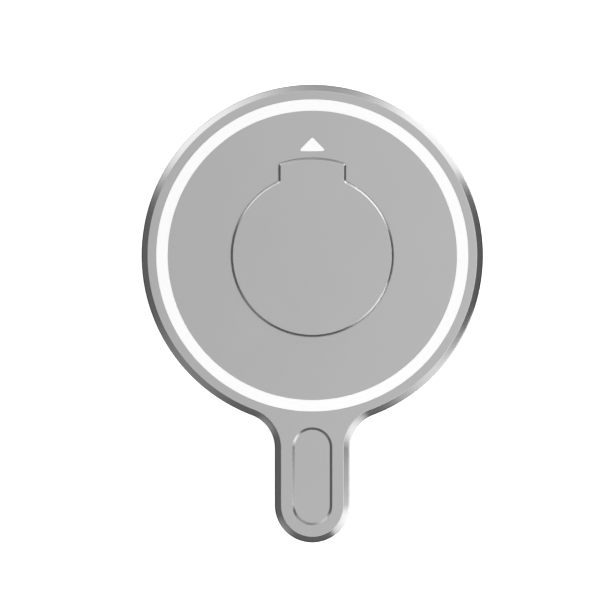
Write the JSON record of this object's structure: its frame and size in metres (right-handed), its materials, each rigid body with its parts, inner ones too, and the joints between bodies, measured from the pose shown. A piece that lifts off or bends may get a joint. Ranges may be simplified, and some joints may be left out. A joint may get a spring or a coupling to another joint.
{
  "type": "magnetic gimbal phone mount",
  "caption": "Round magnetic phone mount with a short handle, a raised keyhole boss for a gimbal arm and a soft contact pad.",
  "frame": {"origin": "centre of the disc, on the plane of the pad's face that the phone lies against", "axes": "+Z out of the gimbal side, +Y from the disc's centre to the arrow, -Y along the handle"},
  "size_m": [0.0612, 0.082, 0.0075],
  "materials": {
    "anodised_aluminium": "satin",
    "white_inlay": "satin",
    "magnet_nickel": "gloss",
    "steel": "satin",
    "holder_plastic": "matte",
    "cover_plastic": "matte",
    "pad_silicone": "matte"
  },
  "bodies": {
    "root": {"body": "anodised_aluminium", "gimbal_boss": "anodised_aluminium", "ring_inlay": "white_inlay", "arrow_inlay": "white_inlay", "ring_magnet_01": "magnet_nickel", "ring_magnet_02": "magnet_nickel", "ring_magnet_03": "magnet_nickel", "ring_magnet_04": "magnet_nickel", "ring_magnet_05": "magnet_nickel", "ring_magnet_06": "magnet_nickel", "ring_magnet_07": "magnet_nickel", "ring_magnet_08": "magnet_nickel", "ring_magnet_09": "magnet_nickel", "ring_magnet_10": "magnet_nickel", "ring_magnet_11": "magnet_nickel", "ring_magnet_12": "magnet_nickel", "ring_magnet_13": "magnet_nickel", "ring_magnet_14": "magnet_nickel", "ring_magnet_15": "magnet_nickel", "ring_magnet_16": "magnet_nickel", "ring_magnet_17": "magnet_nickel", "ring_magnet_18": "magnet_nickel", "alignment_magnet": "magnet_nickel", "ring_yoke": "steel", "alignment_yoke": "steel", "magnet_holder": "holder_plastic", "boss_magnet_1": "magnet_nickel", "boss_magnet_2": "magnet_nickel", "boss_magnet_3": "magnet_nickel", "boss_magnet_4": "magnet_nickel", "keeper_plate": "steel", "boss_screw_1": "steel", "boss_screw_2": "steel", "boss_screw_3": "steel", "boss_screw_4": "steel", "cover_plate": "cover_plastic", "contact_pad": "pad_silicone"}
  },
  "joints": []
}
